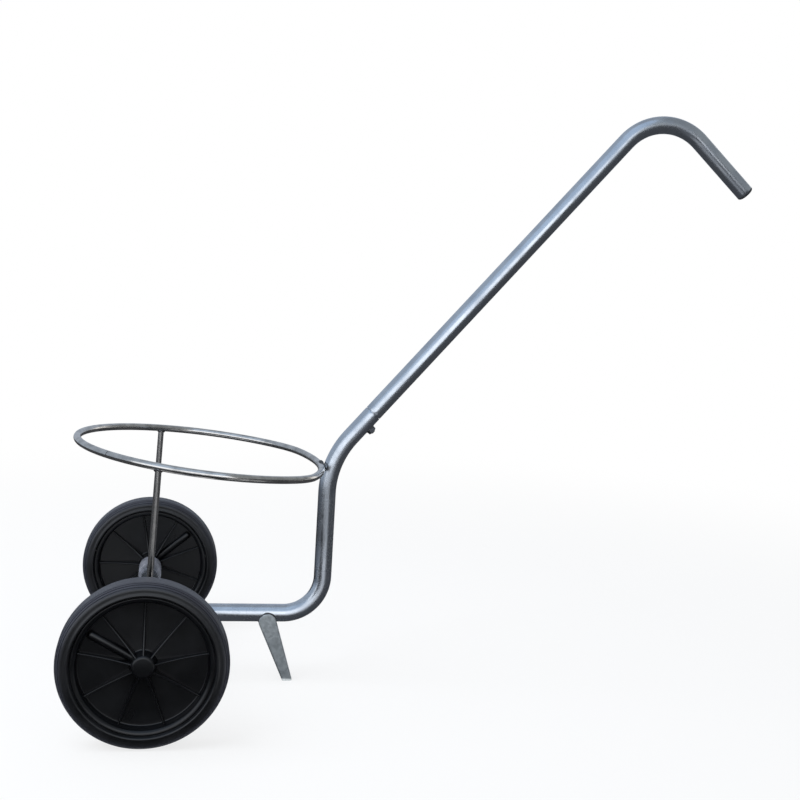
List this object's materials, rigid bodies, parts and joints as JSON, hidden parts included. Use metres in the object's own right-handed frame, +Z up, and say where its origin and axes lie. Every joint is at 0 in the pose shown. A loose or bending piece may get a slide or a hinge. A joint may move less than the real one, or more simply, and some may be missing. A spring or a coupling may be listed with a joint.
{
  "type": "barrel cart",
  "caption": "Wheeled barrel cart: bent tube frame with a round hoop for the barrel, a stand leg, ribbed wheels, and a hooked handle that plugs into the frame and is clamped by a screw.",
  "frame": {"origin": "on the floor, at the middle of the cart's length and width", "axes": "+X from the hoop towards the handle's grip, +Y across to the cart's right side, +Z up"},
  "size_m": [1.1412, 0.626, 0.9987],
  "materials": {
    "zinc_tube": "bright zinc-plated steel tube",
    "zinc_rod": "bright zinc-plated steel rod",
    "leg_steel": "dull galvanised pressed steel",
    "fastener_steel": "dark zinc-plated steel",
    "axle_steel": "plain drawn steel",
    "spacer_plastic": "grey moulded plastic",
    "rim_plastic": "black moulded plastic",
    "tyre_rubber": "black solid rubber",
    "plug_plastic": "black moulded plastic"
  },
  "bodies": {
    "frame": {"frame_tube": "zinc_tube", "axle_tube": "zinc_tube", "axle_rod": "axle_steel", "axle_bush_left": "spacer_plastic", "axle_bush_right": "spacer_plastic", "axle_spacer_left": "spacer_plastic", "axle_spacer_right": "spacer_plastic", "ring_hoop": "zinc_rod", "strut_left": "zinc_rod", "strut_right": "zinc_rod", "stand_leg": "leg_steel", "socket_nut": "fastener_steel"},
    "handle": {"handle_tube": "zinc_tube", "handle_end_plug": "plug_plastic"},
    "clamp_screw": {"clamp_screw": "fastener_steel"},
    "wheel_left": {"wheel_rim_left": "rim_plastic", "tyre_left": "tyre_rubber", "lock_spring_left": "axle_steel"},
    "wheel_right": {"wheel_rim_right": "rim_plastic", "tyre_right": "tyre_rubber", "lock_spring_right": "axle_steel"},
    "lock_pin_left": {"lock_pin_left": "axle_steel"},
    "lock_pin_right": {"lock_pin_right": "axle_steel"}
  },
  "joints": [
    {"name": "wheel_left_spin", "type": "hinge", "parent": "frame", "child": "wheel_left", "pos_m": [-0.44244, -0.288, 0.125], "axis": [0, 1, 0], "continuous": true},
    {"name": "wheel_right_spin", "type": "hinge", "parent": "frame", "child": "wheel_right", "pos_m": [-0.44244, 0.288, 0.125], "axis": [0, 1, 0], "continuous": true},
    {"name": "handle_slide", "type": "slide", "parent": "frame", "child": "handle", "axis": [0.6481, 0, 0.7615], "range_m": [0, 0.045]},
    {"name": "clamp_screw_travel", "type": "slide", "parent": "frame", "child": "clamp_screw", "axis": [0.7615, 0, -0.6481], "range_m": [0, 0.005]},
    {"name": "lock_pin_left_slide", "type": "slide", "parent": "wheel_left", "child": "lock_pin_left", "axis": [-0.866, 0, 0.5], "range_m": [0, 0.004], "stiffness_N_per_m": 1500, "springref_m": -0.006},
    {"name": "lock_pin_right_slide", "type": "slide", "parent": "wheel_right", "child": "lock_pin_right", "axis": [0.766, 0, 0.6428], "range_m": [0, 0.004], "stiffness_N_per_m": 1500, "springref_m": -0.006}
  ]
}
